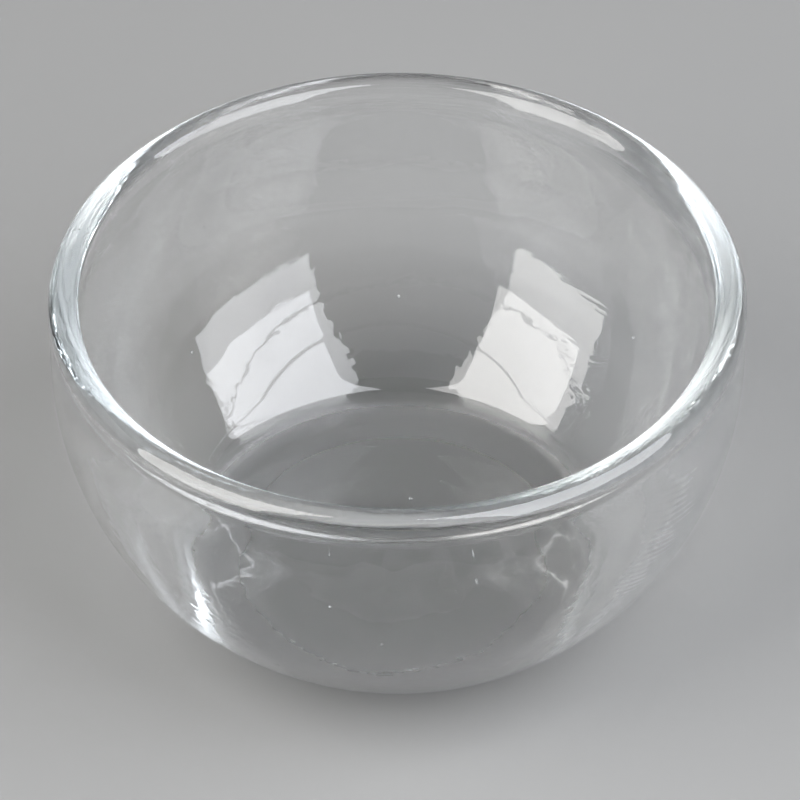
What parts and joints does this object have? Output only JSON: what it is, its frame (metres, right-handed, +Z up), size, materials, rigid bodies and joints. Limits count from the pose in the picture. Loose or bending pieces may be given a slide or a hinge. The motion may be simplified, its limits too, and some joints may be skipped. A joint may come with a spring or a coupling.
{
  "type": "glass bowl",
  "caption": "Small deep round bowl of clear glass with a thick fire-polished rim and a flattened base to stand on.",
  "frame": {"origin": "centre of the flat base, on the surface that the bowl stands on", "axes": "+Z up through the middle of the mouth; the bowl is round about Z, so X and Y are free"},
  "size_m": [0.065, 0.065, 0.034],
  "materials": {
    "clear_glass": "fire-polished, clear and colourless, smooth inside and out"
  },
  "bodies": {
    "root": {"glass_bowl": "clear_glass"}
  },
  "joints": []
}
